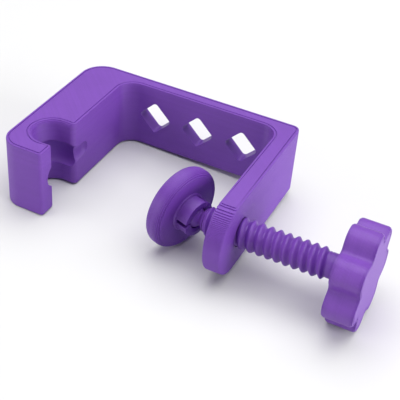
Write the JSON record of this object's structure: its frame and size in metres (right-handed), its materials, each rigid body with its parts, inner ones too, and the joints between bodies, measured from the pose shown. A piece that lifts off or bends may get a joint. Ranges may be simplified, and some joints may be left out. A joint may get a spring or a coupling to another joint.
{
  "type": "screw clamp",
  "caption": "Small C-shaped screw clamp in printed plastic: a frame with a socket in its fixed jaw, a coarse screw, a lobed knob and a ball-jointed swivel pad.",
  "frame": {"origin": "on the fixed jaw's flat clamping face, midway across its width", "axes": "+X points from the fixed jaw along the screw to the knob, +Y out of the spine's back, +Z across the frame's width"},
  "size_m": [0.1018, 0.0524, 0.0271],
  "materials": {
    "frame_plastic": "satin printed plastic with fine layer lines",
    "screw_plastic": "satin printed plastic with fine layer lines",
    "knob_plastic": "satin printed plastic with fine layer lines",
    "pad_plastic": "satin printed plastic with fine layer lines"
  },
  "bodies": {
    "frame": {"c_frame": "frame_plastic"},
    "carriage": {"ball_tip": "screw_plastic"},
    "screw": {"clamp_screw": "screw_plastic", "knob": "knob_plastic"},
    "pad": {"swivel_pad": "pad_plastic"}
  },
  "joints": [
    {"name": "screw_travel", "type": "slide", "parent": "frame", "child": "carriage", "axis": [-1, 0, 0], "range_m": [-0.0045, 0.027]},
    {"name": "screw_turn", "type": "hinge", "parent": "carriage", "child": "screw", "pos_m": [0.03965, -0.0207, 0], "axis": [-1, 0, 0], "range_deg": [-676, 4052]},
    {"name": "pad_tilt", "type": "hinge", "parent": "carriage", "child": "pad", "pos_m": [0.03965, -0.0207, 0], "axis": [0, 0.2107, -0.9776], "range_deg": [-34, 1.5]}
  ],
  "couplings": [
    {"joint": "screw_turn", "follows": "screw_travel", "rad_per_m": 2618}
  ]
}
